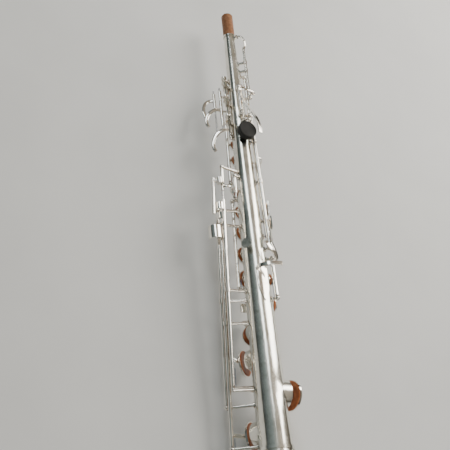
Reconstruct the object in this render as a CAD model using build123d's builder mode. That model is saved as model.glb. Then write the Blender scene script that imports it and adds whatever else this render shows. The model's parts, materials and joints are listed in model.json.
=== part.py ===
from build123d import *
import math
import os

# Straight B-flat soprano saxophone, in millimetres.
# The frame: origin on the tube axis where the neck cork begins, +Y out of the mouthpiece end, +Z
# out of the back (thumb side), +X to the player's right. A station is a distance down the tube from
# the origin, so y = -station. An angle is measured round the tube from +Z towards +X, in degrees.

# ---- driving dimensions ----
LENGTH = 665.0
CONE_TOP_DIAMETER = 13.4
CONE_TAPER = 0.0417
TUBE_WALL = 0.8
BELL_JOINT = 622.0
BELL_RIM_RADIUS = 46.0
TIP_LENGTH = 1.2
TIP_BEAD = 0.45
CORK_LENGTH = 36.0
CORK_DIAMETER = 15.8
COLLAR_LENGTH = 2.4
COLLAR_HEIGHT = 0.9

RUN_CLEARANCE = 0.05
ROD_RADIUS = 1.1
ROD_SEAT = 0.02
HINGE_RADIUS = 2.3
SLIM_HINGE_RADIUS = 1.75
POST_STEM_RADIUS = 1.8
POST_BALL_RADIUS = 3.1
POST_FOOT_RADIUS = 3.4
POST_FOOT_HEIGHT = 1.0
POST_ROOT_DEPTH = 1.5
POST_HALF = 2.6
POST_REACH = 5.0
GUIDE_WALL = 0.9

CHIMNEY_WALL = 0.8
PAD_GAP = 0.1
PAD_THICKNESS = 3.0
PAD_PROUD = 0.8
PAD_CHAMFER = 0.35
CUP_MARGIN = 2.2
CUP_WALL = 0.7
CUP_CROWN = 1.0
PAD_SLACK = 0.03

PEARL_RADIUS = 4.6
PEARL_THICKNESS = 2.2
PEARL_ROUND = 0.5
PEARL_HOLDER_RADIUS = 5.4
PEARL_HOLDER_HEIGHT = 2.6
PEARL_RECESS = 1.6

os.makedirs("parts", exist_ok=True)


# ---- frame helpers ----
def tube_radius(station):
    return (CONE_TOP_DIAMETER + CONE_TAPER * station) / 2


def radial(angle):
    """Unit vector pointing out from the tube axis at an angle."""
    turn = math.radians(angle)
    return Vector(math.sin(turn), 0, math.cos(turn))


def spot(station, angle, distance):
    """Point at a station, an angle and a distance from the tube axis."""
    return radial(angle) * distance + Vector(0, -station, 0)


def cross_point(station, x, z):
    """Point at a station, from its offsets to the right and to the back."""
    return Vector(x, -station, z)


def across(start, direction):
    """Plane at a point, facing along a direction."""
    return Plane(origin=start, z_dir=direction)


class Hinge:
    """A straight hinge line between two stations."""

    def __init__(self, top_station, top_xz, low_station, low_xz, tube=HINGE_RADIUS):
        self.tube = tube
        self.top = cross_point(top_station, *top_xz)
        self.low = cross_point(low_station, *low_xz)
        self.direction = (self.low - self.top).normalized()

    def at(self, station):
        share = (-station - self.top.Y) / (self.low.Y - self.top.Y)
        return self.top + (self.low - self.top) * share

    def axis(self):
        return Axis(self.top, self.direction)

    def angle_at(self, station):
        point = self.at(station)
        return math.degrees(math.atan2(point.X, point.Z))


def tapered_hinge(angle, height, top_station, low_station):
    """Hinge line that stays at one angle and one height above the cone."""
    top = radial(angle) * (tube_radius(top_station) + height)
    low = radial(angle) * (tube_radius(low_station) + height)
    return Hinge(top_station, (top.X, top.Z), low_station, (low.X, low.Z))


# ---- solids added to the part that is being built ----
def bar(start, end, radius, mode=Mode.ADD):
    """Round bar between two points."""
    span = end - start
    with BuildSketch(across(start, span)) as section:
        Circle(radius)
    extrude(section.sketch, amount=span.length, mode=mode)


def ball(centre, radius):
    with BuildSketch(Plane(origin=centre, x_dir=(1, 0, 0), z_dir=(0, 0, 1))) as half_disc:
        with BuildLine():
            CenterArc((0, 0), radius, -90, 180)
            Line((0, radius), (0, -radius))
        make_face()
    revolve(half_disc.sketch, axis=Axis(centre, (0, 1, 0)))


def hinge_tube(hinge, top_station, low_station):
    bar(hinge.at(top_station), hinge.at(low_station), hinge.tube)


def hinge_bore(hinge, top_station, low_station):
    overrun = hinge.direction * 4
    start = hinge.at(top_station) - overrun
    end = hinge.at(low_station) + overrun
    bar(start, end, ROD_RADIUS + RUN_CLEARANCE, mode=Mode.SUBTRACT)


def smooth_path(points):
    with BuildLine() as path:
        if len(points) == 3:
            ThreePointArc(*points)
        else:
            Spline(*points)
    return path.line


def swept_bar(points, width, thickness, wide=(0, -1, 0)):
    """Bar of oval section whose centre line runs smoothly through the points."""
    line = smooth_path(points)
    with BuildSketch(Plane(origin=line @ 0, x_dir=wide, z_dir=line % 0)) as section:
        Ellipse(width / 2, thickness / 2)
    sweep(section.sketch, path=line)


def leaf(points, width, thickness, wide=(0, -1, 0)):
    """Plate with rounded edges that bends through the points."""
    line = smooth_path(points)
    with BuildSketch(Plane(origin=line @ 0, x_dir=wide, z_dir=line % 0)) as section:
        RectangleRounded(width, thickness, min(width, thickness) * 0.45)
    sweep(section.sketch, path=line)


# ---- tone holes: station, angle, hole radius, chimney height ----
class Tone:
    def __init__(self, station, angle, hole, height):
        self.station = station
        self.angle = angle
        self.hole = hole
        self.rim = tube_radius(station) + height
        self.cup = hole + CHIMNEY_WALL + CUP_MARGIN
        self.pad = self.cup - CUP_WALL - PAD_SLACK
        self.pad_face = self.rim + PAD_GAP
        self.pad_back = self.pad_face + PAD_THICKNESS
        self.crown = self.pad_back + PAD_SLACK + CUP_CROWN

    def plane(self, distance):
        out = radial(self.angle)
        return Plane(origin=spot(self.station, self.angle, distance), x_dir=(0, -1, 0), z_dir=out)


TOUCH_THICKNESS = 1.8

SMALL_RIM = 1.6
STACK_RIM = 2.0
LOW_RIM = 2.8

TONES = {
    "palm_f": Tone(124.5, 212, 3.4, SMALL_RIM),
    "palm_e_flat": Tone(139.5, 195, 3.8, SMALL_RIM),
    "palm_d": Tone(155, 180, 4.2, SMALL_RIM),
    "side_e": Tone(117, 130, 3.6, SMALL_RIM),
    "side_c": Tone(188, 125, 4.4, SMALL_RIM),
    "side_b_flat": Tone(243, 125, 4.8, SMALL_RIM),
    "b": Tone(209, 180, 5.0, STACK_RIM),
    "a": Tone(233, 180, 5.6, STACK_RIM),
    "g": Tone(259, 180, 6.4, STACK_RIM),
    "g_sharp": Tone(286, -130, 6.2, SMALL_RIM),
    "f_sharp": Tone(311, 180, 7.6, STACK_RIM),
    "f": Tone(340, 180, 8.6, STACK_RIM),
    "e": Tone(371, 180, 9.4, STACK_RIM),
    "d": Tone(404, 180, 10.2, STACK_RIM),
    "trill": Tone(411, 103, 5.6, SMALL_RIM),
    "e_flat": Tone(442, 125, 10.4, STACK_RIM),
    "low_c": Tone(476, 180, 11.6, LOW_RIM),
    "low_c_sharp": Tone(512, 205, 13.0, LOW_RIM),
    "low_b": Tone(556, 90, 15.0, LOW_RIM),
    "low_b_flat": Tone(600, 205, 15.4, LOW_RIM),
}

# ---- octave vents: station and angle of each pip ----
UPPER_PIP = (43.5, 28)
LOWER_PIP = (186, 8)
OCTAVE_PIPS = (UPPER_PIP, LOWER_PIP)
PIP_HEIGHT = 2.4
PIP_RADIUS = 2.1
PIP_BORE = 1.1
PIP_CAP_RADIUS = 3.0
PIP_CAP_THICKNESS = 2.8

# ---- hinge lines ----
UPPER_STACK = tapered_hinge(225, 8.0, 178, 272)
LOWER_STACK = tapered_hinge(225, 8.0, 298, 422)
G_SHARP_CUP = tapered_hinge(-75, 6.5, 272, 301)
E_FLAT = tapered_hinge(172, 8.5, 427, 456)
LOW_C = tapered_hinge(127, 8.0, 461, 494)
LOW_B_CUP = tapered_hinge(165, 8.5, 537, 575)
SIDE_E = tapered_hinge(85, 6.5, 105, 332)
SIDE_C = tapered_hinge(66, 6.0, 174, 356)
SIDE_B_FLAT = tapered_hinge(47, 6.5, 218, 376)
TRILL = tapered_hinge(47, 6.5, 390, 443)
UPPER_OCTAVE = Hinge(60, (14.0, 11.2), 147, (14.6, 11.8), tube=SLIM_HINGE_RADIUS)
LOWER_OCTAVE = tapered_hinge(44, 5.0, 176, 196)
OCTAVE_LEVER = Hinge(136, (-3.6, 16.4), 179, (-3.6, 17.4))
PALM_D = Hinge(128, (-24.5, -17.0), 189, (-24.5, -17.0))
PALM_E_FLAT = Hinge(128, (-20.0, -8.0), 189, (-20.0, -8.0))
PALM_F = Hinge(117, (-14.0, -0.5), 189, (-14.0, -0.5))
FAR_INNER = Hinge(264, (-36.5, 7.9), 552, (-39.4, -12.2))
FAR_MIDDLE = Hinge(264, (-38.8, 2.3), 552, (-41.7, -17.8))
FAR_OUTER = Hinge(264, (-40.0, -3.5), 552, (-42.9, -23.6))

# ---- posts: hinge line, station of each post that the steel rod runs through ----
END_POSTS = [
    (UPPER_STACK, (178, 272)),
    (LOWER_STACK, (298, 422)),
    (G_SHARP_CUP, (272, 301)),
    (E_FLAT, (427, 456)),
    (LOW_C, (461, 494)),
    (LOW_B_CUP, (537, 575)),
    (SIDE_E, (105, 332)),
    (SIDE_C, (174, 356)),
    (SIDE_B_FLAT, (218, 376)),
    (TRILL, (390, 443)),
    (UPPER_OCTAVE, (147,)),
    (LOWER_OCTAVE, (176, 196)),
    (OCTAVE_LEVER, (136, 179)),
    (FAR_INNER, (264, 301, 307)),
    (FAR_MIDDLE, (342, 616)),
    (FAR_OUTER, (319, 568)),
]

# ---- stout end posts ----
STOUT_POSTS = [(FAR_INNER, 550)]
STOUT_STEM_RADIUS = 3.1

# ---- posts that the whole hinge tube runs through ----
GUIDE_POSTS = [
    (UPPER_OCTAVE, (87, 101)),
    (SIDE_E, (205,)),
    (SIDE_C, (252,)),
    (SIDE_B_FLAT, (280,)),
    (FAR_INNER, (430,)),
    (FAR_MIDDLE, (470,)),
    (FAR_OUTER, (440,)),
]


# ---- features that many keys share ----
def cup(tone):
    """Domed pad cup, turned about the axis of its tone hole."""
    out = radial(tone.angle)
    origin = spot(tone.station, tone.angle, 0)
    profile = Plane(origin=origin, x_dir=(0, -1, 0), z_dir=Vector(0, -1, 0).cross(out))
    pocket = tone.pad + PAD_SLACK
    skirt = tone.pad_face + PAD_PROUD
    ceiling = tone.pad_back + PAD_SLACK
    shoulder = ceiling + CUP_CROWN * 0.2
    dome = tone.crown + CUP_CROWN * 0.4
    with BuildSketch(profile) as section:
        with BuildLine():
            Polyline((0, ceiling), (pocket, ceiling), (pocket, skirt), (tone.cup, skirt))
            Line((tone.cup, skirt), (tone.cup, shoulder))
            Spline(
                (tone.cup, shoulder),
                (tone.cup * 0.8, tone.crown),
                (0, dome),
                tangents=[(-0.3, 1), (-1, 0)],
            )
            Line((0, dome), (0, ceiling))
        make_face()
    revolve(section.sketch, axis=Axis(origin, out))


def arm(hinge, tone, width=3.4, thickness=2.0):
    """Arched arm from the hinge tube over the edge of the cup to its crown."""
    out = radial(tone.angle)
    start = hinge.at(tone.station)
    centre = spot(tone.station, tone.angle, 0)
    side = start - centre - out * (start - centre).dot(out)
    side = Vector(side.X, 0, side.Z).normalized()
    lift = tone.crown + thickness / 2 - 0.3
    edge_height = tone.crown - 1.6
    shoulder = centre + side * (tone.cup * 0.72) + out * lift
    if (start - centre).dot(out) > edge_height:
        edge = (start + shoulder) / 2 + out
    else:
        edge = centre + side * (tone.cup + thickness / 2 + 0.2) + out * edge_height
    swept_bar([start, edge, shoulder, centre + out * (lift + 0.2)], width, thickness)


def pad_pocket(tone):
    """Clear the room for the pad, after the arm has been added."""
    with BuildSketch(tone.plane(tone.pad_face - 0.5)) as pocket:
        Circle(tone.pad + PAD_SLACK)
    extrude(pocket.sketch, amount=PAD_THICKNESS + 0.5 + PAD_SLACK, mode=Mode.SUBTRACT)


def pearl_holder(tone):
    seat = tone.crown - CUP_CROWN / 2
    with BuildSketch(tone.plane(seat)) as holder:
        Circle(PEARL_HOLDER_RADIUS)
    extrude(holder.sketch, amount=PEARL_HOLDER_HEIGHT)
    with BuildSketch(tone.plane(seat + PEARL_HOLDER_HEIGHT - PEARL_RECESS)) as recess:
        Circle(PEARL_RADIUS + PAD_SLACK)
    extrude(recess.sketch, amount=PEARL_HOLDER_HEIGHT * 2, mode=Mode.SUBTRACT)


def opening_turn(hinge, tone, angle):
    """Signed angle about the hinge line that lifts the cup off its tone hole."""
    side = math.sin(math.radians(tone.angle - hinge.angle_at(tone.station)))
    return math.copysign(angle, side)


def save(builder, name, hinge=None, turn=0):
    """Write one piece, turned about its hinge to where it rests."""
    piece = builder.part
    if turn:
        piece = piece.rotate(hinge.axis(), turn)
    piece.label = name
    export_step(piece, f"parts/{name}.step")


def save_pad(name, tone, hinge, turn=0):
    with BuildPart() as pad:
        with BuildSketch(tone.plane(tone.pad_face)):
            Circle(tone.pad)
        extrude(amount=PAD_THICKNESS)
        chamfer(edges().filter_by(GeomType.CIRCLE), PAD_CHAMFER)
    save(pad, name, hinge, turn)


# ---- body tube with drawn tone holes ----
bore_top = tube_radius(0) - TUBE_WALL
bore_low = tube_radius(BELL_JOINT) - TUBE_WALL
DRAW_ROOT = 0.45

with BuildPart() as body_tube:
    with BuildSketch(Plane.XY):
        with BuildLine():
            Polyline(
                (0, 0),
                (tube_radius(0), 0),
                (tube_radius(BELL_JOINT), -BELL_JOINT),
                (0, -BELL_JOINT),
                close=True,
            )
        make_face()
    revolve(axis=Axis.Y)
    with BuildSketch(Plane.XZ.offset(CORK_LENGTH)):
        Circle(tube_radius(CORK_LENGTH) + COLLAR_HEIGHT)
    extrude(amount=COLLAR_LENGTH)
    with BuildSketch(Plane.XZ.offset(-TIP_LENGTH)):
        Circle(tube_radius(0) + TIP_BEAD)
    extrude(amount=TIP_LENGTH)
    for tone in TONES.values():
        root = tube_radius(tone.station) * DRAW_ROOT
        with BuildSketch(tone.plane(root)):
            Circle(tone.hole + CHIMNEY_WALL)
        extrude(amount=tone.rim - root)
    for station, angle in OCTAVE_PIPS:
        base = tube_radius(station) * DRAW_ROOT
        with BuildSketch(Plane(origin=spot(station, angle, base), z_dir=radial(angle))):
            Circle(PIP_RADIUS)
        extrude(amount=tube_radius(station) + PIP_HEIGHT - base)
    with BuildSketch(Plane.XY):
        with BuildLine():
            Polyline(
                (0, TIP_LENGTH + 1),
                (bore_top, TIP_LENGTH + 1),
                (bore_top, 0),
                (bore_low, -BELL_JOINT),
                (bore_low, -BELL_JOINT - 1),
                (0, -BELL_JOINT - 1),
                close=True,
            )
        make_face()
    revolve(axis=Axis.Y, mode=Mode.SUBTRACT)
    for tone in TONES.values():
        with BuildSketch(tone.plane(0)):
            Circle(tone.hole)
        extrude(amount=tone.rim + 1, mode=Mode.SUBTRACT)
    for station, angle in OCTAVE_PIPS:
        with BuildSketch(Plane(origin=spot(station, angle, 0), z_dir=radial(angle))):
            Circle(PIP_BORE)
        extrude(amount=tube_radius(station) + 2 * PIP_HEIGHT, mode=Mode.SUBTRACT)
save(body_tube, "body_tube")

# ---- bell: flared shell with a rolled rim and a soldered ring over the joint ----
BELL_WALL = 0.8
RIM_DEPTH = 3.2
RIM_ROUND = 0.96
RIM_BITE = 1.2
RIM_SLOPE = (1, -0.35)
CONE_SLOPE = (CONE_TAPER / 2, -1)
FLARE_BEND = 0.62
FLARE_RISE = 6.0
JOINT_RING_HEIGHT = 1.1
JOINT_RING_HALF = 2
bell_entry = tube_radius(BELL_JOINT)
flare_middle = (bell_entry + FLARE_RISE, -(BELL_JOINT + (LENGTH - BELL_JOINT) * FLARE_BEND))
flare_end = (BELL_RIM_RADIUS - RIM_BITE, -(LENGTH - RIM_DEPTH / 2))

with BuildPart() as bell:
    with BuildSketch(Plane.XY):
        with BuildLine():
            outer = Spline(
                (bell_entry, -BELL_JOINT),
                flare_middle,
                flare_end,
                tangents=[CONE_SLOPE, RIM_SLOPE],
            )
            inner = Spline(
                (bell_entry - BELL_WALL, -BELL_JOINT),
                (flare_middle[0] - BELL_WALL, flare_middle[1]),
                (flare_end[0], flare_end[1] - BELL_WALL),
                tangents=[CONE_SLOPE, RIM_SLOPE],
            )
            Line(outer @ 0, inner @ 0)
            Line(outer @ 1, inner @ 1)
        make_face()
    revolve(axis=Axis.Y)
    with BuildSketch(Plane.XZ.offset(LENGTH - RIM_DEPTH)):
        Circle(BELL_RIM_RADIUS)
        Circle(BELL_RIM_RADIUS - RIM_DEPTH, mode=Mode.SUBTRACT)
    extrude(amount=RIM_DEPTH)
    rim_edges = edges().filter_by(GeomType.CIRCLE).sort_by(Axis.Y)
    fillet(rim_edges.filter_by(lambda e: e.radius > BELL_RIM_RADIUS - RIM_ROUND), RIM_ROUND)
    with BuildSketch(Plane.XZ.offset(BELL_JOINT - JOINT_RING_HALF)):
        Circle(bell_entry + JOINT_RING_HEIGHT)
        Circle(bell_entry + PAD_SLACK, mode=Mode.SUBTRACT)
    extrude(amount=JOINT_RING_HALF)
    with BuildSketch(Plane.XZ.offset(BELL_JOINT)):
        Circle(bell_entry + JOINT_RING_HEIGHT)
        Circle(bell_entry - BELL_WALL / 2, mode=Mode.SUBTRACT)
    extrude(amount=JOINT_RING_HALF)
save(bell, "bell")

# ---- neck cork ----
cork_seat = tube_radius(CORK_LENGTH)
with BuildPart() as neck_cork:
    with BuildSketch(Plane.XZ):
        Circle(CORK_DIAMETER / 2)
    extrude(amount=CORK_LENGTH)
    with BuildSketch(Plane.XY):
        with BuildLine():
            Polyline(
                (0, 1),
                (tube_radius(0) + PAD_SLACK, 1),
                (tube_radius(CORK_LENGTH) + PAD_SLACK, -CORK_LENGTH - 1),
                (0, -CORK_LENGTH - 1),
                close=True,
            )
        make_face()
    revolve(axis=Axis.Y, mode=Mode.SUBTRACT)
save(neck_cork, "neck_cork")

# ---- the cone's outside, for feet that sit on the tube ----
with BuildPart() as tube_envelope:
    with BuildSketch(Plane.XY):
        with BuildLine():
            Polyline(
                (0, 0),
                (tube_radius(0) + PAD_SLACK, 0),
                (tube_radius(LENGTH) + PAD_SLACK, -LENGTH),
                (0, -LENGTH),
                close=True,
            )
        make_face()
    revolve(axis=Axis.Y)


def foot_and_stem(point, stem_radius=POST_STEM_RADIUS):
    """Round foot on the tube and a stem from it up to a point."""
    station = -point.Y
    angle = math.degrees(math.atan2(point.X, point.Z))
    root = spot(station, angle, tube_radius(station) - POST_ROOT_DEPTH)
    foot_top = spot(station, angle, tube_radius(station) + POST_FOOT_HEIGHT)
    bar(root, foot_top, POST_FOOT_RADIUS)
    bar(root, point, stem_radius)


def rod_hole(hinge, top_station, low_station):
    bar(hinge.at(top_station), hinge.at(low_station), ROD_RADIUS + ROD_SEAT, mode=Mode.SUBTRACT)


# ---- ribs that carry the three palm key rods ----
RIB_STATIONS = (128, 158, 189)
RIB_THICKNESS = 2.4
RIB_WIDTH = 5.6
RIB_HEAD_RADIUS = 3.7
PALM_LINES = (PALM_F, PALM_E_FLAT, PALM_D)
RIB_CENTRES = [(hinge.top.X, -hinge.top.Z) for hinge in PALM_LINES]
PALM_F_POSTS = (117, 209)

with BuildPart() as key_posts:
    for hinge, stations in END_POSTS:
        for station in stations:
            foot_and_stem(hinge.at(station))
            ball(hinge.at(station), POST_BALL_RADIUS)
    for hinge, station in STOUT_POSTS:
        foot_and_stem(hinge.at(station), STOUT_STEM_RADIUS)
        ball(hinge.at(station), POST_BALL_RADIUS)
    for hinge, stations in GUIDE_POSTS:
        for station in stations:
            point = hinge.at(station)
            foot_and_stem(point)
            half = hinge.direction * POST_HALF
            bar(point - half, point + half, hinge.tube + GUIDE_WALL)
    for station in RIB_STATIONS:
        plane = Plane(origin=(0, -station + RIB_THICKNESS / 2, 0), x_dir=(1, 0, 0), z_dir=(0, -1, 0))
        with BuildSketch(plane):
            with BuildLine():
                Polyline((-5, -2), *RIB_CENTRES)
            trace(line_width=RIB_WIDTH)
            with Locations(*RIB_CENTRES):
                Circle(RIB_HEAD_RADIUS)
        extrude(amount=RIB_THICKNESS)
    for station in PALM_F_POSTS:
        foot_and_stem(PALM_F.at(station))
        ball(PALM_F.at(station), POST_BALL_RADIUS)
    add(tube_envelope.part, mode=Mode.SUBTRACT)
    add(body_tube.part, mode=Mode.SUBTRACT)
    for hinge, stations in END_POSTS:
        for station in stations:
            rod_hole(hinge, station - POST_REACH, station + POST_REACH)
    for hinge, station in STOUT_POSTS:
        rod_hole(hinge, station - POST_REACH, station + POST_REACH)
    for hinge, stations in GUIDE_POSTS:
        for station in stations:
            start = hinge.at(station - POST_REACH)
            end = hinge.at(station + POST_REACH)
            bar(start, end, hinge.tube + RUN_CLEARANCE, mode=Mode.SUBTRACT)
    for hinge in PALM_LINES:
        rod_hole(hinge, 90, 215)
    guide = HINGE_RADIUS + RUN_CLEARANCE
    bar(PALM_F.at(120), PALM_F.at(195), guide, mode=Mode.SUBTRACT)
    bar(PALM_E_FLAT.at(150), PALM_E_FLAT.at(165), guide, mode=Mode.SUBTRACT)
save(key_posts, "key_posts")

# ---- steel rods: hinge line, first and last station ----
ROD_SPANS = [
    (UPPER_STACK, 175, 275),
    (LOWER_STACK, 295, 425),
    (G_SHARP_CUP, 269, 304),
    (E_FLAT, 424, 459),
    (LOW_C, 458, 497),
    (LOW_B_CUP, 534, 578),
    (SIDE_E, 102, 335),
    (SIDE_C, 171, 359),
    (SIDE_B_FLAT, 215, 379),
    (TRILL, 387, 446),
    (UPPER_OCTAVE, 60.5, 150),
    (LOWER_OCTAVE, 173, 199),
    (OCTAVE_LEVER, 133, 182),
    (PALM_D, 125, 192),
    (PALM_E_FLAT, 125, 192),
    (PALM_F, 114, 212),
    (FAR_INNER, 261, 304),
    (FAR_INNER, 304.4, 553),
    (FAR_MIDDLE, 339, 619),
    (FAR_OUTER, 316, 571),
]
with BuildPart() as hinge_rods:
    for hinge, first, last in ROD_SPANS:
        bar(hinge.at(first), hinge.at(last), ROD_RADIUS)
save(hinge_rods, "hinge_rods")

# ---- needle springs: hinge line, post station, free length down the tube ----
SPRING_RADIUS = 0.3
SPRING_OFFSET = 3.4
SPRINGS = [
    (UPPER_STACK, 178, 13),
    (UPPER_STACK, 272, -10),
    (LOWER_STACK, 298, 8),
    (LOWER_STACK, 422, -14),
    (G_SHARP_CUP, 272, 9),
    (E_FLAT, 427, 10),
    (LOW_C, 461, 10),
    (LOW_B_CUP, 575, -12),
    (SIDE_E, 332, -22),
    (SIDE_C, 356, -22),
    (SIDE_B_FLAT, 376, -22),
    (TRILL, 443, -20),
    (FAR_INNER, 550, -24),
    (FAR_MIDDLE, 616, -12),
    (FAR_OUTER, 568, -16),
    (UPPER_OCTAVE, 147, -16),
]
with BuildPart() as needle_springs:
    for hinge, station, reach in SPRINGS:
        inward = radial(hinge.angle_at(station)) * -SPRING_OFFSET
        bar(hinge.at(station) + inward, hinge.at(station + reach) + inward, SPRING_RADIUS)
save(needle_springs, "needle_springs")

# ---- thumb rest: black disc on a waisted seat ----
THUMB_REST_STATION = 208
THUMB_REST_RADIUS = 12.4
THUMB_REST_TOP = 23.2
THUMB_REST_THICKNESS = 7.6
THUMB_REST_ROUND = 1.2
THUMB_REST_WAIST = 6.2
THUMB_REST_WAIST_HEIGHT = 6.5
with BuildPart() as thumb_rest:
    seat = THUMB_REST_TOP - THUMB_REST_THICKNESS
    with BuildSketch(Plane.XY.offset(seat)):
        with Locations((0, -THUMB_REST_STATION)):
            Circle(THUMB_REST_RADIUS)
    extrude(amount=THUMB_REST_THICKNESS)
    fillet(edges().group_by(Axis.Z)[-1], THUMB_REST_ROUND)
    with BuildSketch(Plane.XY.offset(seat)):
        with Locations((0, -THUMB_REST_STATION)):
            Circle(THUMB_REST_WAIST)
    extrude(amount=-THUMB_REST_WAIST_HEIGHT)
    add(tube_envelope.part, mode=Mode.SUBTRACT)
save(thumb_rest, "thumb_rest")

# ---- flat round stud on a stem ----
STUD_STATION = 374
STUD_ANGLE = -47
STUD_TOP = 24.6
STUD_RADIUS = 6.3
STUD_THICKNESS = 2.4
STUD_STEM_RADIUS = 3.0
with BuildPart() as thumb_button:
    stud_under = spot(STUD_STATION, STUD_ANGLE, STUD_TOP - STUD_THICKNESS)
    foot_and_stem(stud_under, STUD_STEM_RADIUS)
    with BuildSketch(Plane(origin=stud_under, z_dir=radial(STUD_ANGLE))):
        Circle(STUD_RADIUS)
    extrude(amount=STUD_THICKNESS)
    add(tube_envelope.part, mode=Mode.SUBTRACT)
save(thumb_button, "thumb_button")

# ---- thumb hook: leaf-shaped base and a curled band ----
HOOK_BASE_TOP = 409
HOOK_BASE_LOW = 448
HOOK_BASE_WIDTH = 13.5
HOOK_BASE_HEIGHT = 1.5
HOOK_BASE_LIP = 12
HOOK_BASE_STRAIGHT = 22
HOOK_STATION = 405
HOOK_WIDTH = 6.0
HOOK_THICKNESS = 2.0
hook_seat = tube_radius(HOOK_STATION)
base_start = HOOK_BASE_TOP - HOOK_BASE_LIP
with BuildPart() as base_shell:
    with BuildSketch(Plane.XY):
        with BuildLine():
            Polyline(
                (0, -base_start),
                (tube_radius(base_start) + HOOK_BASE_HEIGHT, -base_start),
                (tube_radius(HOOK_BASE_LOW) + HOOK_BASE_HEIGHT, -HOOK_BASE_LOW),
                (0, -HOOK_BASE_LOW),
                close=True,
            )
        make_face()
    revolve(axis=Axis.Y)

with BuildPart() as thumb_hook:
    with BuildSketch(Plane.XY.offset(hook_seat * 0.6)):
        with BuildLine():
            half = HOOK_BASE_WIDTH / 2
            Polyline((-half, -HOOK_STATION), (-half, -HOOK_STATION - HOOK_BASE_STRAIGHT))
            Spline(
                (-half, -HOOK_STATION - HOOK_BASE_STRAIGHT),
                (0, -HOOK_BASE_LOW),
                tangents=[(0, -1), (0.6, -1)],
            )
            Spline(
                (0, -HOOK_BASE_LOW),
                (half, -HOOK_STATION - HOOK_BASE_STRAIGHT),
                tangents=[(0.6, 1), (0, 1)],
            )
            Polyline(
                (half, -HOOK_STATION - HOOK_BASE_STRAIGHT),
                (half, -HOOK_STATION),
                (-half, -HOOK_STATION),
            )
        make_face()
    extrude(amount=hook_seat)
    add(base_shell.part, mode=Mode.INTERSECT)
    hook_line = [
        cross_point(HOOK_STATION + 1.5, -6.0, hook_seat - 1.6),
        cross_point(HOOK_STATION, -4.6, hook_seat + 5.6),
        cross_point(HOOK_STATION, 1.2, hook_seat + 12.0),
        cross_point(HOOK_STATION, 10.5, hook_seat + 16.2),
        cross_point(HOOK_STATION, 19.0, hook_seat + 17.4),
    ]
    leaf(hook_line, HOOK_WIDTH, HOOK_THICKNESS)
    add(tube_envelope.part, mode=Mode.SUBTRACT)
save(thumb_hook, "thumb_hook")

# ---- stack keys: name, hinge line, first and last station of the tube, pearl ----
STACK_OPENING = 11
STACK_KEYS = [
    ("b", UPPER_STACK, 181.6, 220.8, True),
    ("a", UPPER_STACK, 221.1, 245.8, True),
    ("g", UPPER_STACK, 246.1, 268.4, True),
    ("f_sharp", LOWER_STACK, 301.6, 325.2, False),
    ("f", LOWER_STACK, 325.5, 355.2, True),
    ("e", LOWER_STACK, 355.5, 386.6, True),
    ("d", LOWER_STACK, 386.9, 418.4, True),
]
for name, hinge, first, last, has_pearl in STACK_KEYS:
    tone = TONES[name]
    turn = opening_turn(hinge, tone, STACK_OPENING)
    with BuildPart() as stack_key:
        cup(tone)
        hinge_tube(hinge, first, last)
        arm(hinge, tone)
        pad_pocket(tone)
        if has_pearl:
            pearl_holder(tone)
        hinge_bore(hinge, first, last)
    save(stack_key, f"key_{name}", hinge, turn)
    save_pad(f"key_{name}_pad", tone, hinge, turn)
    if has_pearl:
        with BuildPart() as pearl:
            height = tone.crown - CUP_CROWN / 2 + PEARL_HOLDER_HEIGHT - PEARL_RECESS + PAD_SLACK
            with BuildSketch(tone.plane(height)):
                Circle(PEARL_RADIUS)
            extrude(amount=PEARL_THICKNESS)
            outer_edge = edges().filter_by(GeomType.CIRCLE).sort_by(Axis.Z)[0]
            fillet(outer_edge, PEARL_ROUND)
        save(pearl, f"key_{name}_pearl", hinge, turn)

# ---- G sharp cup and its lever ----
tone = TONES["g_sharp"]
with BuildPart() as g_sharp_key:
    cup(tone)
    hinge_tube(G_SHARP_CUP, 275.6, 297.6)
    arm(G_SHARP_CUP, tone)
    pad_pocket(tone)
    tail_start = G_SHARP_CUP.at(293)
    swept_bar([tail_start, cross_point(293, -21.6, 9.2), cross_point(293, -24.4, 13.6)], 4, 2)
    hinge_bore(G_SHARP_CUP, 275.6, 297.6)
save(g_sharp_key, "key_g_sharp")
save_pad("key_g_sharp_pad", tone, G_SHARP_CUP)

with BuildPart() as g_sharp_lever:
    hinge_tube(FAR_INNER, 267.4, 297.4)
    bar(FAR_INNER.at(288), cross_point(288, -43.0, 12.6), 3.0)
    bar(cross_point(284.5, -43.6, 12.4), cross_point(292, -43.6, 12.4), 3.8)
    bar(cross_point(288, -43.6, 12.4), cross_point(288, -50.0, 9.6), 2.2)
    bar(cross_point(284.5, -50.6, 9.4), cross_point(334, -52.6, 7.0), 2.0)
    swept_bar([FAR_INNER.at(293), cross_point(293, -31.4, 11.2), cross_point(293, -27.6, 10.2)], 4, 2)
    hinge_bore(FAR_INNER, 267.4, 297.4)
save(g_sharp_lever, "g_sharp_lever")

# ---- low C sharp: one long key on the inner far rod ----
LOW_OPENING = 16
LOW_ARM_WIDTH = 5.0
LOW_ARM_THICKNESS = 2.6
tone = TONES["low_c_sharp"]
turn = opening_turn(FAR_INNER, tone, LOW_OPENING)
with BuildPart() as low_c_sharp_cup:
    cup(tone)
    arm(FAR_INNER, tone, width=LOW_ARM_WIDTH, thickness=LOW_ARM_THICKNESS)
    pad_pocket(tone)
with BuildPart() as low_c_sharp_key:
    add(low_c_sharp_cup.part.rotate(FAR_INNER.axis(), turn))
    hinge_tube(FAR_INNER, 310.6, 546.4)
    touch_start = FAR_INNER.at(321) + Vector(-0.5, 0, 1.5)
    touch_line = [touch_start, cross_point(321, -43.0, 8.8), cross_point(321, -47.6, 3.6)]
    leaf(touch_line, 10.5, TOUCH_THICKNESS)
    hinge_bore(FAR_INNER, 310.6, 546.4)
save(low_c_sharp_key, "key_low_c_sharp")
save_pad("key_low_c_sharp_pad", tone, FAR_INNER, turn)

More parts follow.
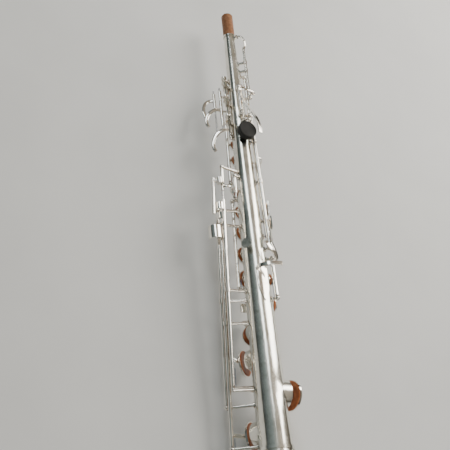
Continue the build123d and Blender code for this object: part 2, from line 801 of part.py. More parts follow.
# ---- low B flat: one long key on the middle far rod ----
tone = TONES["low_b_flat"]
turn = opening_turn(FAR_MIDDLE, tone, LOW_OPENING)
with BuildPart() as low_b_flat_cup:
    cup(tone)
    arm(FAR_MIDDLE, tone, width=LOW_ARM_WIDTH, thickness=LOW_ARM_THICKNESS)
    pad_pocket(tone)
with BuildPart() as low_b_flat_key:
    add(low_b_flat_cup.part.rotate(FAR_MIDDLE.axis(), turn))
    hinge_tube(FAR_MIDDLE, 345.6, 612.4)
    touch_start = FAR_MIDDLE.at(354) + Vector(0, 0, 1.5)
    touch_line = [touch_start, cross_point(354, -47.5, 2.0), cross_point(354, -54.5, -7.0)]
    leaf(touch_line, 18, TOUCH_THICKNESS)
    hinge_bore(FAR_MIDDLE, 345.6, 612.4)
save(low_b_flat_key, "key_low_b_flat")
save_pad("key_low_b_flat_pad", tone, FAR_MIDDLE, turn)

# ---- low B: lever on the outer far rod, pushing the tail of a cup key in front ----
with BuildPart() as low_b_lever:
    hinge_tube(FAR_OUTER, 322.6, 564.4)
    touch_start = FAR_OUTER.at(334) + Vector(0, 0, 1.5)
    touch_line = [touch_start, cross_point(334, -45.5, 2.5), cross_point(334, -42.0, 7.5)]
    leaf(touch_line, 10, TOUCH_THICKNESS)
    swept_bar([FAR_OUTER.at(545), cross_point(545, -30, -25.5), cross_point(545, -14, -18.4)], 5, 2.4)
    hinge_bore(FAR_OUTER, 322.6, 564.4)
save(low_b_lever, "low_b_lever")

LOW_B_OPENING = 15
tone = TONES["low_b"]
turn = opening_turn(LOW_B_CUP, tone, LOW_B_OPENING)
with BuildPart() as low_b_key:
    cup(tone)
    hinge_tube(LOW_B_CUP, 540.6, 571.4)
    arm(LOW_B_CUP, tone, width=LOW_ARM_WIDTH, thickness=LOW_ARM_THICKNESS)
    pad_pocket(tone)
    swept_bar([LOW_B_CUP.at(545), cross_point(545, -4, -28.4), cross_point(545, -15, -27.6)], 5, 2.4)
    hinge_bore(LOW_B_CUP, 540.6, 571.4)
save(low_b_key, "key_low_b", LOW_B_CUP, turn)
save_pad("key_low_b_pad", tone, LOW_B_CUP, turn)

# ---- right-hand little finger keys ----
tone = TONES["e_flat"]
with BuildPart() as e_flat_key:
    cup(tone)
    hinge_tube(E_FLAT, 430.6, 452.4)
    arm(E_FLAT, tone, width=4.4, thickness=2.4)
    pad_pocket(tone)
    touch_start = E_FLAT.at(437.5)
    touch_line = [touch_start, cross_point(437.5, -1.0, -30.5), cross_point(437.5, -9.5, -31.5)]
    leaf(touch_line, 12, TOUCH_THICKNESS)
    hinge_bore(E_FLAT, 430.6, 452.4)
save(e_flat_key, "key_e_flat")
save_pad("key_e_flat_pad", tone, E_FLAT)

LOW_C_OPENING = 12
tone = TONES["low_c"]
turn = opening_turn(LOW_C, tone, LOW_C_OPENING)
with BuildPart() as low_c_key:
    cup(tone)
    hinge_tube(LOW_C, 464.6, 490.4)
    arm(LOW_C, tone, width=4.6, thickness=2.4)
    hinge_bore(LOW_C, 464.6, 490.4)
    touch_root = spot(tone.station - 8, tone.angle, tone.crown)
    touch_line = [touch_root, cross_point(461, -2.0, -28.5), cross_point(452, -4.0, -32.5)]
    leaf(touch_line, 13, 2.0, wide=(1, 0, 0))
    pad_pocket(tone)
save(low_c_key, "key_low_c", LOW_C, turn)
save_pad("key_low_c_pad", tone, LOW_C, turn)

# ---- palm keys: hinge line, span of the tube, points of the claw ----
PALM_KEYS = {
    "palm_f": (
        PALM_F,
        (120.6, 205.4),
        [(198, -14.0, -0.5), (199, -25.5, -2.9), (208, -33.5, -7.0), (230, -34.8, -6.5)],
    ),
    "palm_e_flat": (
        PALM_E_FLAT,
        (130.2, 186.8),
        [(162, -20.0, -8.0), (163, -30.3, -8.7), (170, -37.6, -11.3), (190, -39.3, -11.0)],
    ),
    "palm_d": (
        PALM_D,
        (130.2, 156.0),
        [(141, -24.5, -17.0), (142, -33.0, -20.4), (150, -38.6, -20.6), (169, -38.0, -19.4)],
    ),
}
for name, (hinge, span, claw) in PALM_KEYS.items():
    tone = TONES[name]
    with BuildPart() as palm_key:
        cup(tone)
        hinge_tube(hinge, *span)
        arm(hinge, tone)
        pad_pocket(tone)
        swept_bar([cross_point(*point) for point in claw], 5.2, 2.8)
        hinge_bore(hinge, *span)
    save(palm_key, f"key_{name}")
    save_pad(f"key_{name}_pad", tone, hinge)

# ---- side keys: hinge line, span of the tube, arm points, touch station, touch points, width ----
SIDE_KEYS = {
    "side_e": (
        SIDE_E,
        (108.6, 328.4),
        [(85, 15.6), (103, 17.0), (121, 16.0), (130, 15.2)],
        306,
        [(85, 21.2), (74, 24.0), (62, 24.8)],
        19,
    ),
    "side_c": (
        SIDE_C,
        (177.6, 352.4),
        [(66, 16.6), (82, 21.3), (104, 20.8), (125, 16.9)],
        333,
        [(66, 21.2), (54, 26.0), (42, 27.5)],
        17,
    ),
    "side_b_flat": (
        SIDE_B_FLAT,
        (221.6, 372.4),
        [(47, 18.3), (66, 23.4), (88, 24.0), (110, 21.8), (125, 18.1)],
        354,
        [(47, 22.2), (38, 26.5), (27, 28.0)],
        16,
    ),
}
for name, (hinge, span, arm_points, touch_station, touch_points, touch_width) in SIDE_KEYS.items():
    tone = TONES[name]
    with BuildPart() as side_key:
        cup(tone)
        hinge_tube(hinge, *span)
        swept_bar([spot(tone.station, *point) for point in arm_points], 3.4, 2.0)
        pad_pocket(tone)
        middle = touch_station + touch_width / 2
        leaf([spot(middle, *point) for point in touch_points], touch_width, TOUCH_THICKNESS)
        hinge_bore(hinge, *span)
    save(side_key, f"key_{name}")
    save_pad(f"key_{name}_pad", tone, hinge)

# ---- trill key with two petal touches ----
PETALS = (
    [(397, 47, 23.2), (391, 38, 28.0), (384, 22, 28.6), (374, 8, 27.0)],
    [(399, 47, 23.2), (393, 43, 28.4), (385, 36, 29.0), (374, 28, 27.4)],
)
tone = TONES["trill"]
with BuildPart() as trill_key:
    cup(tone)
    hinge_tube(TRILL, 393.6, 439.4)
    arm(TRILL, tone)
    pad_pocket(tone)
    for petal in PETALS:
        leaf([spot(*point) for point in petal], 5.0, 2.0, wide=(1, 0, -1))
    hinge_bore(TRILL, 393.6, 439.4)
save(trill_key, "key_trill")
save_pad("key_trill_pad", tone, TRILL)

# ---- octave keys ----


def pip_cap(station, angle):
    """Flat cap that closes an octave pip."""
    seat = tube_radius(station) + PIP_HEIGHT + PAD_GAP
    with BuildSketch(Plane(origin=spot(station, angle, seat), z_dir=radial(angle))) as disc:
        Circle(PIP_CAP_RADIUS)
    extrude(disc.sketch, amount=PIP_CAP_THICKNESS)


with BuildPart() as upper_octave_key:
    pip_cap(*UPPER_PIP)
    hinge_tube(UPPER_OCTAVE, 62, 143.4)
    neck_arm = [
        UPPER_OCTAVE.at(64),
        cross_point(55, 14.8, 15.4),
        cross_point(46, 10.2, 15.6),
        spot(*UPPER_PIP, 12.6),
    ]
    swept_bar(neck_arm, 4.2, 2.6, wide=(1, 0, -1))
    tail = [UPPER_OCTAVE.at(140), cross_point(140, 18.0, 12.9), cross_point(140, 21.6, 12.6)]
    swept_bar(tail, 4.0, 2.0)
    hinge_bore(UPPER_OCTAVE, 62, 143.4)
save(upper_octave_key, "upper_octave_key")

with BuildPart() as lower_octave_key:
    pip_cap(*LOWER_PIP)
    hinge_tube(LOWER_OCTAVE, 179.6, 192.4)
    pip_arm = [LOWER_OCTAVE.at(186), spot(186, 34, 17.8), spot(186, 20, 17.4), spot(186, 8, 15.4)]
    swept_bar(pip_arm, 3.2, 2.0)
    hinge_bore(LOWER_OCTAVE, 179.6, 192.4)
save(lower_octave_key, "lower_octave_key")

with BuildPart() as octave_lever:
    hinge_tube(OCTAVE_LEVER, 139.6, 175.4)
    spatula = [
        cross_point(141, -3.0, 19.2),
        cross_point(158, -1.6, 20.4),
        cross_point(171, 2.2, 23.4),
        cross_point(188, 10.4, 26.8),
        cross_point(200, 14.6, 26.8),
        cross_point(212, 15.8, 25.6),
    ]
    leaf(spatula, 7.0, 2.0, wide=(0.94, 0, -0.34))
    link = [
        OCTAVE_LEVER.at(142),
        cross_point(142, 5.0, 21.2),
        cross_point(142, 14.0, 20.0),
        cross_point(141, 21.2, 15.4),
    ]
    swept_bar(link, 4.0, 2.2)
    hinge_bore(OCTAVE_LEVER, 139.6, 175.4)
save(octave_lever, "octave_lever")
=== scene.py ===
"""Straight silver-plated soprano saxophone: the looks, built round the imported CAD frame."""
import json
import math

import bmesh
import bpy
import numpy as np
from mathutils import Matrix, Vector


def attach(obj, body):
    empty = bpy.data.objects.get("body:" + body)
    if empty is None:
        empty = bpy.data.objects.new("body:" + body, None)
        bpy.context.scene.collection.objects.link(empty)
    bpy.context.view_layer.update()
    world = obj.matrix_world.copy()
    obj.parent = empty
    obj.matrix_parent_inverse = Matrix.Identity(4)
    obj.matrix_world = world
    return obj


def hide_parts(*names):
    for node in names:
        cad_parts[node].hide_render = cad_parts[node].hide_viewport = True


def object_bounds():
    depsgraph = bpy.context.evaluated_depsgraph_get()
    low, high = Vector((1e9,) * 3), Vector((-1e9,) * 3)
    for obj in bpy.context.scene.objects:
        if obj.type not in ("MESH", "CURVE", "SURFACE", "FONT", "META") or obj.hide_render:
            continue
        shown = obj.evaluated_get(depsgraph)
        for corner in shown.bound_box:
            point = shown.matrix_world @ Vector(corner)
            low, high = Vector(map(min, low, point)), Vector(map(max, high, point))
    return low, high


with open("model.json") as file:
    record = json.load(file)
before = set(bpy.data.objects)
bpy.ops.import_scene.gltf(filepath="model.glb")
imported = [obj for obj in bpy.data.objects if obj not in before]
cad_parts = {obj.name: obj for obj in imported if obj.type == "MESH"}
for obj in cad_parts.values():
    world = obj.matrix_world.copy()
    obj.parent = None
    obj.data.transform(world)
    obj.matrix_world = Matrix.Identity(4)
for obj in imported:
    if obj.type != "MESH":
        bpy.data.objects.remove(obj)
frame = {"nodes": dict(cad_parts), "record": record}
cad_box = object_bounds()
NODES = frame["nodes"]
BODIES = frame["record"]["behaviour"]["bodies"]
MM = 0.001

# ---------------------------------------------------------------- driving values
# Lengths are in metres and angles in radians, unless the name says otherwise.
SMOOTH_ANGLE = math.radians(35)
SAME_POINT = 1e-7

# PAD_FACE lists (share of the radius, depth below the rim) from the rim to the middle.
RESONATOR_SHARE = 0.42
RESONATOR_SEAT = 0.20 * MM
PAD_EDGE = 0.9 * MM
PAD_BACK_EDGE = 0.2 * MM
PAD_FACE = (
    (0.80, 0.02 * MM),
    (0.62, 0.12 * MM),
    (RESONATOR_SHARE, RESONATOR_SEAT),
    (0, 0.22 * MM),
)

# The dome and the rivet list (share of the disc's radius, share of the rise).
RESONATOR_SINK = 0.1 * MM
RESONATOR_EDGE = 0.12 * MM
RESONATOR_SHOULDER = 0.30 * MM
RESONATOR_SHOULDER_SHARE = 0.9
RESONATOR_RISE = 0.55 * MM
RESONATOR_DOME = ((0.6, 0.85), (0.34, 1.0))
RESONATOR_RIVET = ((0.26, 0.8), (0.26, 1.1), (0.156, 1.5), (0, 1.6))
RESONATOR_SEGMENTS = 40

# PEARL_FACE lists (share of the radius, depth of the dish).
PEARL_EDGE = 0.8 * MM
PEARL_SIDE_SHARE = 0.9
PEARL_FACE = ((0.6, 0.16 * MM), (0.3, 0.26 * MM), (0, 0.30 * MM))

SCREW_RADIUS = 1.3 * MM
SCREW_HEIGHT = 0.7 * MM
SCREW_SUNK_SHARE = 0.9
SCREW_SEGMENTS = 32
SCREW_TURN = 0.7
SLOT_WIDTH = 0.5 * MM
SLOT_DEPTH = 0.45 * MM
# HEAD_RINGS lists (height, share of the radius) from the slot's floor to the crown.
HEAD_RINGS = (
    (SCREW_HEIGHT - SLOT_DEPTH, 1.0),
    (SCREW_HEIGHT * 0.8, 1.0),
    (SCREW_HEIGHT, 0.86),
)

MIDDLE = (0, -0.33, 0)
FLOOR_SIZE = 5
FLOOR_GAP = 0.5 * MM

SKY_LEVELS = ((0.0, 0.05), (0.95, 0.75))
SIDE_TINTS = ((0.0, (0.62, 0.74, 0.74)), (0.5, (1.0, 0.88, 0.72)))
BACKDROP = (0.62, 0.62, 0.61, 1)
SKY_STRENGTH = 0.6

CAMERA_PLACE = (-0.491, -0.900, 0.894)
CAMERA_RIGHT = (0.908, -0.086, 0.409)
CAMERA_FORWARD = (0.397, 0.485, -0.779)
LENS_MM = 75.0
SENSOR_MM = 36.0
CLIP_START = 0.01


# ---------------------------------------------------------------- materials
class ShaderGraph:
    """Short way to build a shader: each call adds one node and sets its inputs."""

    def __init__(self, name):
        self.material = bpy.data.materials.new(name)
        self.material.use_nodes = True
        self.tree = self.material.node_tree
        self.shader = self.tree.nodes["Principled BSDF"]
        self.position = self.tree.nodes.new("ShaderNodeNewGeometry").outputs["Position"]

    def link(self, source, target):
        self.tree.links.new(source, target)

    def noise(self, scale, detail=4.0, roughness=0.55, stretch=None):
        source = self.position
        if stretch:
            mapping = self.tree.nodes.new("ShaderNodeMapping")
            mapping.inputs["Scale"].default_value = stretch
            self.link(source, mapping.inputs["Vector"])
            source = mapping.outputs["Vector"]
        node = self.tree.nodes.new("ShaderNodeTexNoise")
        node.inputs["Scale"].default_value = scale
        node.inputs["Detail"].default_value = detail
        node.inputs["Roughness"].default_value = roughness
        self.link(source, node.inputs["Vector"])
        return node.outputs["Fac"]

    def cells(self, scale):
        node = self.tree.nodes.new("ShaderNodeTexVoronoi")
        node.inputs["Scale"].default_value = scale
        self.link(self.position, node.inputs["Vector"])
        return node.outputs["Distance"]

    def ramp(self, factor, stops):
        node = self.tree.nodes.new("ShaderNodeValToRGB")
        ramp = node.color_ramp
        while len(ramp.elements) < len(stops):
            ramp.elements.new(0.5)
        for element, (place, colour) in zip(ramp.elements, stops):
            element.position = place
            element.color = (*colour, 1.0)
        self.link(factor, node.inputs["Fac"])
        return node.outputs["Color"]

    def spread(self, factor, low, high, start=0.3, end=0.7):
        node = self.tree.nodes.new("ShaderNodeMapRange")
        node.inputs["From Min"].default_value = start
        node.inputs["From Max"].default_value = end
        node.inputs["To Min"].default_value = low
        node.inputs["To Max"].default_value = high
        self.link(factor, node.inputs["Value"])
        return node.outputs["Result"]

    def mix(self, factor, first, second, mode="MIX"):
        node = self.tree.nodes.new("ShaderNodeMix")
        node.data_type = "RGBA"
        node.blend_type = mode
        self.connect(factor, node.inputs["Factor"])
        self.connect(first, node.inputs["A"])
        self.connect(second, node.inputs["B"])
        return node.outputs["Result"]

    def connect(self, value, target):
        if isinstance(value, bpy.types.NodeSocket):
            self.link(value, target)
        elif isinstance(value, (tuple, list)):
            target.default_value = (*value, 1.0)
        else:
            target.default_value = value

    def shade_in_hollows(self, distance):
        """Nearness to a corner or a neighbour, where shade falls; it drives painted shade."""
        node = self.tree.nodes.new("ShaderNodeAmbientOcclusion")
        node.inputs["Distance"].default_value = distance
        node.samples = 4
        return node.outputs["AO"]

    def bump(self, height, strength, distance):
        node = self.tree.nodes.new("ShaderNodeBump")
        node.inputs["Strength"].default_value = strength
        node.inputs["Distance"].default_value = distance
        self.link(height, node.inputs["Height"])
        if self.shader.inputs["Normal"].is_linked:
            self.link(self.shader.inputs["Normal"].links[0].from_socket, node.inputs["Normal"])
        self.link(node.outputs["Normal"], self.shader.inputs["Normal"])

    def set(self, **inputs):
        for name, value in inputs.items():
            self.connect(value, self.shader.inputs[name.replace("_", " ")])


def silver(name, bright, worn, tarnish_and_shade_colour, tarnish_amount, roughness):
    """Old silver plate: cloudy bright metal, brown tarnish patches, painted shade in the corners in the
    tarnish colour, hairline scratches.
    """
    n = ShaderGraph(name)
    cloud = n.noise(38.0, detail=6.0)
    fine = n.noise(420.0, detail=3.0)
    base = n.ramp(cloud, [(0.30, [c * 0.80 for c in bright]), (0.52, bright), (0.75, worn)])
    # Painted shade: ambient occlusion darkens corners and gaps between parts towards the tarnish colour,
    # broken up by fine noise.
    corner = n.ramp(n.shade_in_hollows(0.004), [(0.15, (1.0, 1.0, 1.0)), (0.85, (0.0, 0.0, 0.0))])
    painted_corner_shade = n.mix(1.0, corner, n.ramp(fine, [(0.3, (0.45,) * 3), (0.7, (1.0,) * 3)]), "MULTIPLY")
    patches = n.spread(n.noise(90.0, detail=5.0), 0.0, tarnish_amount, 0.52, 0.74)
    spotted = n.mix(patches, base, tarnish_and_shade_colour)
    n.set(Base_Color=n.mix(painted_corner_shade, spotted, tarnish_and_shade_colour), Metallic=1.0)
    n.set(Roughness=n.spread(cloud, roughness * 0.75, roughness * 1.5))
    scratches = n.noise(300.0, detail=2.0, stretch=(1.0, 0.04, 1.0))
    n.bump(scratches, 0.10, 0.0002)
    n.bump(n.noise(130.0, detail=2.0), 0.05, 0.0006)
    return n.material


def steel(name, colour, roughness):
    n = ShaderGraph(name)
    rings = n.noise(500.0, detail=2.0, stretch=(0.3, 6.0, 0.3))
    n.set(Base_Color=n.ramp(rings, [(0.3, [c * 0.7 for c in colour]), (0.7, colour)]), Metallic=1.0)
    n.set(Roughness=n.spread(rings, roughness * 0.8, roughness * 1.4))
    n.bump(rings, 0.15, 0.0001)
    return n.material


def cork():
    n = ShaderGraph("waxed_cork")
    grain = n.noise(260.0, detail=8.0, roughness=0.7)
    blotch = n.noise(70.0, detail=3.0)
    cells = n.cells(650.0)
    stops = [(0.30, (0.11, 0.045, 0.018)), (0.50, (0.27, 0.115, 0.048)), (0.72, (0.42, 0.20, 0.095))]
    light = n.ramp(grain, stops)
    shaded = n.mix(n.spread(blotch, 0.0, 0.45), light, (0.30, 0.12, 0.05))
    pits = n.ramp(cells, [(0.05, (0.35, 0.35, 0.35)), (0.22, (1.0, 1.0, 1.0))])
    n.set(Base_Color=n.mix(0.75, shaded, pits, "MULTIPLY"), Roughness=0.62)
    n.set(Specular_IOR_Level=0.35, Coat_Weight=0.12, Coat_Roughness=0.35)
    n.bump(grain, 0.35, 0.0003)
    n.bump(cells, 0.25, 0.0002)
    return n.material


def pad_leather():
    n = ShaderGraph("tan_kid_leather")
    tone = n.noise(160.0, detail=5.0)
    grain = n.cells(2600.0)
    stops = [(0.3, (0.30, 0.075, 0.025)), (0.55, (0.52, 0.16, 0.055)), (0.75, (0.66, 0.25, 0.10))]
    colour = n.ramp(tone, stops)
    n.set(Base_Color=colour, Roughness=n.spread(tone, 0.42, 0.62), Specular_IOR_Level=0.4)
    n.set(Sheen_Weight=0.15)
    n.bump(grain, 0.25, 0.00012)
    n.bump(tone, 0.2, 0.0003)
    return n.material


def hard_rubber():
    n = ShaderGraph("black_hard_rubber")
    haze = n.noise(120.0, detail=5.0)
    swirl = n.noise(900.0, detail=2.0)
    stops = [(0.3, (0.003, 0.003, 0.003)), (0.7, (0.010, 0.010, 0.008))]
    n.set(Base_Color=n.ramp(haze, stops))
    n.set(Roughness=n.spread(haze, 0.30, 0.50), Specular_IOR_Level=0.30)
    n.bump(swirl, 0.06, 0.0001)
    return n.material


def mother_of_pearl():
    n = ShaderGraph("mother_of_pearl")
    veil = n.noise(240.0, detail=3.0, stretch=(1.0, 2.2, 1.0))
    stops = [
        (0.25, (0.72, 0.78, 0.74)),
        (0.45, (0.90, 0.88, 0.82)),
        (0.62, (0.86, 0.76, 0.76)),
        (0.80, (0.93, 0.92, 0.88)),
    ]
    n.set(Base_Color=n.ramp(veil, stops), Roughness=0.16, Coat_Weight=0.5, Coat_Roughness=0.06)
    n.set(Sheen_Weight=0.1, Specular_IOR_Level=0.6)
    n.bump(veil, 0.05, 0.0002)
    return n.material


def grey_metal():
    n = ShaderGraph("worn_grey_metal")
    wear = n.noise(210.0, detail=6.0)
    stops = [(0.3, (0.20, 0.22, 0.20)), (0.6, (0.36, 0.38, 0.35)), (0.8, (0.50, 0.50, 0.45))]
    n.set(Base_Color=n.ramp(wear, stops), Metallic=0.75, Roughness=n.spread(wear, 0.42, 0.62))
    n.bump(n.noise(700.0), 0.12, 0.0001)
    return n.material


def floor_paint():
    n = ShaderGraph("pale_floor")
    mottle = n.noise(6.0, detail=3.0)
    stops = [(0.3, (0.70, 0.70, 0.69)), (0.7, (0.76, 0.76, 0.75))]
    n.set(Base_Color=n.ramp(mottle, stops), Roughness=0.8)
    return n.material


BODY_SILVER = silver(
    "body_silver",
    bright=(0.84, 0.82, 0.75),
    worn=(0.90, 0.88, 0.82),
    tarnish_and_shade_colour=(0.30, 0.26, 0.17),
    tarnish_amount=0.30,
    roughness=0.17,
)
KEY_SILVER = silver(
    "key_silver",
    bright=(0.90, 0.87, 0.81),
    worn=(0.95, 0.93, 0.88),
    tarnish_and_shade_colour=(0.36, 0.23, 0.13),
    tarnish_amount=0.25,
    roughness=0.11,
)
POST_SILVER = silver(
    "post_silver",
    bright=(0.89, 0.85, 0.78),
    worn=(0.94, 0.92, 0.86),
    tarnish_and_shade_colour=(0.33, 0.21, 0.12),
    tarnish_amount=0.35,
    roughness=0.13,
)
ROD_STEEL = steel("rod_steel", (0.62, 0.61, 0.60), 0.22)
BLUED_STEEL = steel("blued_steel", (0.10, 0.14, 0.24), 0.25)
RESONATOR_METAL = silver(
    "resonator_metal",
    bright=(0.88, 0.82, 0.72),
    worn=(0.93, 0.90, 0.84),
    tarnish_and_shade_colour=(0.40, 0.24, 0.12),
    tarnish_amount=0.4,
    roughness=0.16,
)
CORK = cork()
LEATHER = pad_leather()
RUBBER = hard_rubber()
PEARL = mother_of_pearl()
GREY_METAL = grey_metal()

SLOT_MATERIALS = {
    "body_silver": BODY_SILVER,
    "key_silver": KEY_SILVER,
    "post_silver": POST_SILVER,
    "steel_rod": ROD_STEEL,
    "spring_steel": BLUED_STEEL,
    "cork": CORK,
    "pad_leather": LEATHER,
    "black_thumb_rest": RUBBER,
    "pearl": PEARL,
    "button_grey": GREY_METAL,
}


def dress_cad_nodes():
    """Gives every CAD node the material of its slot."""
    for entry in frame["record"]["subparts"]:
        mesh = NODES[entry["node"]].data
        mesh.materials.clear()
        mesh.materials.append(SLOT_MATERIALS[entry["material_slot"]])


# ---------------------------------------------------------------- mesh helpers
def body_of_node(node):
    return next(body for body, members in BODIES.items() if node in members)


def vertex_array(obj):
    flat = np.empty(len(obj.data.vertices) * 3)
    obj.data.vertices.foreach_get("co", flat)
    return flat.reshape(-1, 3)


def disc_frame(node):
    """Centre, axis pointing away from the tube, radius and thickness of a flat round node."""
    points = vertex_array(NODES[node])
    middle = (points.min(axis=0) + points.max(axis=0)) / 2
    axis = np.linalg.eigh(np.cov((points - middle).T))[1][:, 0]
    if middle[0] * axis[0] + middle[2] * axis[2] < 0:
        axis = -axis
    along = (points - middle) @ axis
    middle = middle + axis * (along.max() + along.min()) / 2
    flat = (points - middle) - np.outer((points - middle) @ axis, axis)
    radius = np.linalg.norm(flat, axis=1).max()
    thickness = along.max() - along.min()
    return Vector(middle), Vector(axis).normalized(), float(radius), float(thickness)


def lathe(name, profile, centre, axis, material, body, segments=64):
    """Solid of revolution: profile points are (radius, height along the axis), in metres."""
    turn = axis.to_track_quat("Z", "Y").to_matrix()
    mesh = bmesh.new()
    rings = []
    for radius, height in profile:
        if radius < SAME_POINT:
            rings.append([mesh.verts.new(centre + turn @ Vector((0, 0, height)))])
            continue
        ring = []
        for step in range(segments):
            angle = 2 * math.pi * step / segments
            spot = Vector((radius * math.cos(angle), radius * math.sin(angle), height))
            ring.append(mesh.verts.new(centre + turn @ spot))
        rings.append(ring)
    for lower, upper in zip(rings, rings[1:]):
        for step in range(segments):
            after = (step + 1) % segments
            corners = [lower[step % len(lower)], lower[after % len(lower)]]
            corners += [upper[after % len(upper)], upper[step % len(upper)]]
            mesh.faces.new(list(dict.fromkeys(corners)))
    bmesh.ops.recalc_face_normals(mesh, faces=mesh.faces)
    return finish_piece(name, mesh, material, body)


def finish_piece(name, mesh, material, body):
    """Turns a bmesh into a piece with sharp edges kept, riding on a body."""
    data = bpy.data.meshes.new(name)
    for face in mesh.faces:
        face.smooth = True
    for edge in mesh.edges:
        if len(edge.link_faces) == 2 and edge.calc_face_angle(0.0) > SMOOTH_ANGLE:
            edge.smooth = False
    mesh.to_mesh(data)
    mesh.free()
    data.materials.append(material)
    piece = bpy.data.objects.new(name, data)
    bpy.context.scene.collection.objects.link(piece)
    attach(piece, body)
    return piece


def rounded(radius, low, high, edge, steps=5):
    """Outer wall of a disc from height low to high, with a round over at its upper edge."""
    points = [(radius, low)]
    for step in range(steps + 1):
        angle = math.pi / 2 * step / steps
        across = radius - edge + edge * math.cos(angle)
        points.append((across, high - edge + edge * math.sin(angle)))
    return points


# ---------------------------------------------------------------- pads with resonators
def leather_profile(radius, half):
    """Outline of a pad that swells at its rim, from its back to the middle of its face."""
    back = [(0, -half), (radius - PAD_BACK_EDGE, -half)]
    face = [(radius * share, half - depth) for share, depth in PAD_FACE]
    return back + rounded(radius, -half + PAD_BACK_EDGE, half, PAD_EDGE) + face


def resonator_profile(disc, base):
    """Outline of a domed disc with a rivet, standing on a pad's face at height base."""
    profile = [(0, base - RESONATOR_SINK), (disc, base - RESONATOR_SINK), (disc, base + RESONATOR_EDGE)]
    profile.append((disc * RESONATOR_SHOULDER_SHARE, base + RESONATOR_SHOULDER))
    for share, rise in RESONATOR_DOME + RESONATOR_RIVET:
        profile.append((disc * share, base + RESONATOR_RISE * rise))
    return profile


def build_pads():
    """Leather pads that swell at the rim, each with a domed metal resonator and its rivet."""
    for node in sorted(NODES):
        if not node.endswith("_pad"):
            continue
        centre, axis, radius, thickness = disc_frame(node)
        body = body_of_node(node)
        half = thickness / 2
        leather = leather_profile(radius, half)
        pad = lathe(node + "_leather", leather, centre, -axis, LEATHER, body)
        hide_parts(node)
        plate = resonator_profile(radius * RESONATOR_SHARE, half - RESONATOR_SEAT)
        name = node + "_resonator"
        lathe(name, plate, centre, -axis, RESONATOR_METAL, body, RESONATOR_SEGMENTS)


# ---------------------------------------------------------------- pearl touches
def build_pearls():
    """Slightly dished pearl discs with a soft rim."""
    for node in sorted(NODES):
        if not node.endswith("_pearl"):
            continue
        centre, axis, radius, thickness = disc_frame(node)
        half = thickness / 2
        profile = [(0, -half), (radius, -half)]
        profile += rounded(radius, -half * PEARL_SIDE_SHARE, half, PEARL_EDGE)
        profile += [(radius * share, half - depth) for share, depth in PEARL_FACE]
        pearl = lathe(node + "_disc", profile, centre, axis, PEARL, body_of_node(node))
        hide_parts(node)


# ---------------------------------------------------------------- slotted screw heads on the rods
def islands(obj):
    """Vertex positions of each separate solid in a node."""
    mesh = bmesh.new()
    mesh.from_mesh(obj.data)
    bmesh.ops.remove_doubles(mesh, verts=mesh.verts, dist=SAME_POINT)
    left = set(mesh.verts)
    groups = []
    while left:
        stack = [left.pop()]
        group = [stack[0]]
        while stack:
            for edge in stack.pop().link_edges:
                for vertex in edge.verts:
                    if vertex in left:
                        left.remove(vertex)
                        stack.append(vertex)
                        group.append(vertex)
        groups.append(np.array([tuple(v.co) for v in group]))
    mesh.free()
    return groups


def rod_ends():
    """Centre and outward direction of both ends of every steel rod."""
    ends = []
    for points in islands(NODES["hinge_rods"]):
        middle = points.mean(axis=0)
        line = np.linalg.eigh(np.cov((points - middle).T))[1][:, 2]
        along = (points - middle) @ line
        for sign in (1, -1):
            reach = (along * sign).max()
            ends.append((Vector(middle + line * sign * reach), Vector(line * sign)))
    return sorted(ends, key=lambda end: (round(end[0].y, 5), round(end[0].x, 5)))


def half_head(mesh, centre, turn, side, segments=16):
    """Half of a slotted head: the material on one side of the slot, above the slot floor."""
    start = math.asin(SLOT_WIDTH / 2 / SCREW_RADIUS)
    arc = [start + (math.pi - 2 * start) * k / segments for k in range(segments + 1)]
    layers = []
    for height, shrink in HEAD_RINGS:
        ring = []
        for angle in arc:
            x = SCREW_RADIUS * shrink * math.cos(angle)
            y = max(SCREW_RADIUS * shrink * math.sin(angle), SLOT_WIDTH / 2)
            ring.append(mesh.verts.new(centre + turn @ Vector((x * side, y * side, height))))
        layers.append(ring)
    for lower, upper in zip(layers, layers[1:]):
        for k in range(len(arc)):
            after = (k + 1) % len(arc)
            mesh.faces.new([lower[k], lower[after], upper[after], upper[k]])
    mesh.faces.new(layers[-1])
    mesh.faces.new(list(reversed(layers[0])))


def build_screws():
    """A slotted head at both ends of every rod, each slot turned a little further than the last."""
    floor_height = SCREW_HEIGHT - SLOT_DEPTH
    for number, (end, out) in enumerate(rod_ends()):
        turn = out.to_track_quat("Z", "Y").to_matrix() @ Matrix.Rotation(SCREW_TURN * number, 3, "Z")
        foot = end - out * SCREW_HEIGHT * SCREW_SUNK_SHARE
        mesh = bmesh.new()
        base = bmesh.ops.create_cone(
            mesh,
            cap_ends=True,
            segments=SCREW_SEGMENTS,
            radius1=SCREW_RADIUS,
            radius2=SCREW_RADIUS,
            depth=floor_height,
        )
        lift = Matrix.Translation((0, 0, floor_height / 2))
        place = Matrix.Translation(foot) @ turn.to_4x4() @ lift
        bmesh.ops.transform(mesh, matrix=place, verts=base["verts"])
        for side in (1, -1):
            half_head(mesh, foot, turn, side)
        bmesh.ops.recalc_face_normals(mesh, faces=mesh.faces)
        finish_piece(f"rod_screw_{number:02d}", mesh, ROD_STEEL, "root")


# ---------------------------------------------------------------- stage, light and camera
def build_stage():
    """A pale floor just under the lowest point of the frame."""
    height = cad_box[0][2] - FLOOR_GAP
    bpy.ops.mesh.primitive_plane_add(size=FLOOR_SIZE, location=(MIDDLE[0], MIDDLE[1], height))
    floor = bpy.context.object
    floor.name = "floor"
    floor.data.materials.append(floor_paint())


def softbox(name, location, width, height, power, colour):
    """Rectangular soft light that faces the middle of the instrument; power is in watts."""
    light = bpy.data.lights.new(name, "AREA")
    light.shape = "RECTANGLE"
    light.size = width
    light.size_y = height
    light.energy = power
    light.color = colour
    box = bpy.data.objects.new(name, light)
    box.location = location
    box.rotation_euler = (Vector(MIDDLE) - Vector(location)).to_track_quat("-Z", "Y").to_euler()
    bpy.context.scene.collection.objects.link(box)


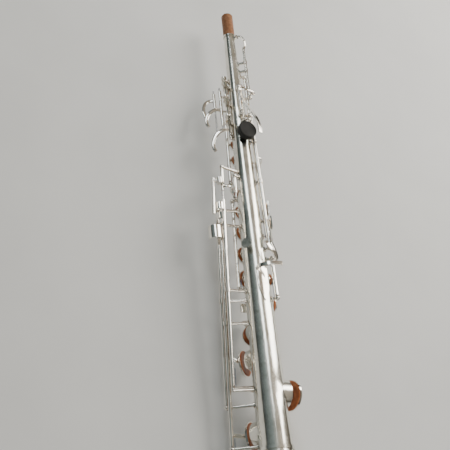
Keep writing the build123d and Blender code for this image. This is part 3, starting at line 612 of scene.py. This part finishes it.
def build_world():
    """Dim horizon that brightens upwards, cooler on the left; the camera itself sees a plain backdrop."""
    world = bpy.data.worlds.new("studio")
    bpy.context.scene.world = world
    world.use_nodes = True
    tree = world.node_tree
    background = tree.nodes["Background"]
    coordinates = tree.nodes.new("ShaderNodeTexCoord")
    split = tree.nodes.new("ShaderNodeSeparateXYZ")
    tree.links.new(coordinates.outputs["Generated"], split.inputs[0])
    height = tree.nodes.new("ShaderNodeValToRGB")
    for element, (place, level) in zip(height.color_ramp.elements, SKY_LEVELS):
        element.position = place
        element.color = (level, level, level, 1)
    side = tree.nodes.new("ShaderNodeValToRGB")
    for element, (place, tint) in zip(side.color_ramp.elements, SIDE_TINTS):
        element.position = place
        element.color = (*tint, 1)
    blend = tree.nodes.new("ShaderNodeMix")
    blend.data_type = "RGBA"
    blend.blend_type = "MULTIPLY"
    blend.inputs["Factor"].default_value = 1.0
    shift = tree.nodes.new("ShaderNodeMath")
    shift.inputs[1].default_value = 0.5
    tree.links.new(split.outputs["X"], shift.inputs[0])
    tree.links.new(split.outputs["Z"], height.inputs["Fac"])
    tree.links.new(shift.outputs["Value"], side.inputs["Fac"])
    tree.links.new(height.outputs["Color"], blend.inputs["A"])
    tree.links.new(side.outputs["Color"], blend.inputs["B"])
    seen = tree.nodes.new("ShaderNodeLightPath")
    backdrop = tree.nodes.new("ShaderNodeMix")
    backdrop.data_type = "RGBA"
    backdrop.inputs["B"].default_value = BACKDROP
    tree.links.new(seen.outputs["Is Camera Ray"], backdrop.inputs["Factor"])
    tree.links.new(blend.outputs["Result"], backdrop.inputs["A"])
    tree.links.new(backdrop.outputs["Result"], background.inputs["Color"])
    background.inputs["Strength"].default_value = SKY_STRENGTH


def build_light():
    softbox("key_softbox", (0.95, 0.25, 0.85), width=0.60, height=1.3, power=22, colour=(1.0, 0.97, 0.91))
    softbox("left_strip", (-0.55, 0.50, 1.25), width=0.22, height=1.1, power=6, colour=(0.92, 0.97, 1.0))
    softbox("front_fill", (0.1, -1.9, 0.9), width=0.9, height=0.5, power=7, colour=(1.0, 0.98, 0.95))


def build_camera():
    """Looks along CAMERA_FORWARD, with CAMERA_RIGHT pointing to the right of the picture."""
    camera = bpy.data.objects.new("camera", bpy.data.cameras.new("camera"))
    camera.data.lens = LENS_MM
    camera.data.sensor_width = SENSOR_MM
    camera.data.clip_start = CLIP_START
    back = -Vector(CAMERA_FORWARD).normalized()
    right = Vector(CAMERA_RIGHT) - back * Vector(CAMERA_RIGHT).dot(back)
    right.normalize()
    up = back.cross(right)
    turn = Matrix((right, up, back)).transposed()
    camera.matrix_world = Matrix.Translation(CAMERA_PLACE) @ turn.to_4x4()
    bpy.context.scene.collection.objects.link(camera)
    bpy.context.scene.camera = camera


dress_cad_nodes()
build_pads()
build_pearls()
build_screws()
build_stage()
build_world()
build_light()
build_camera()
bpy.context.scene.view_settings.view_transform = "AgX"
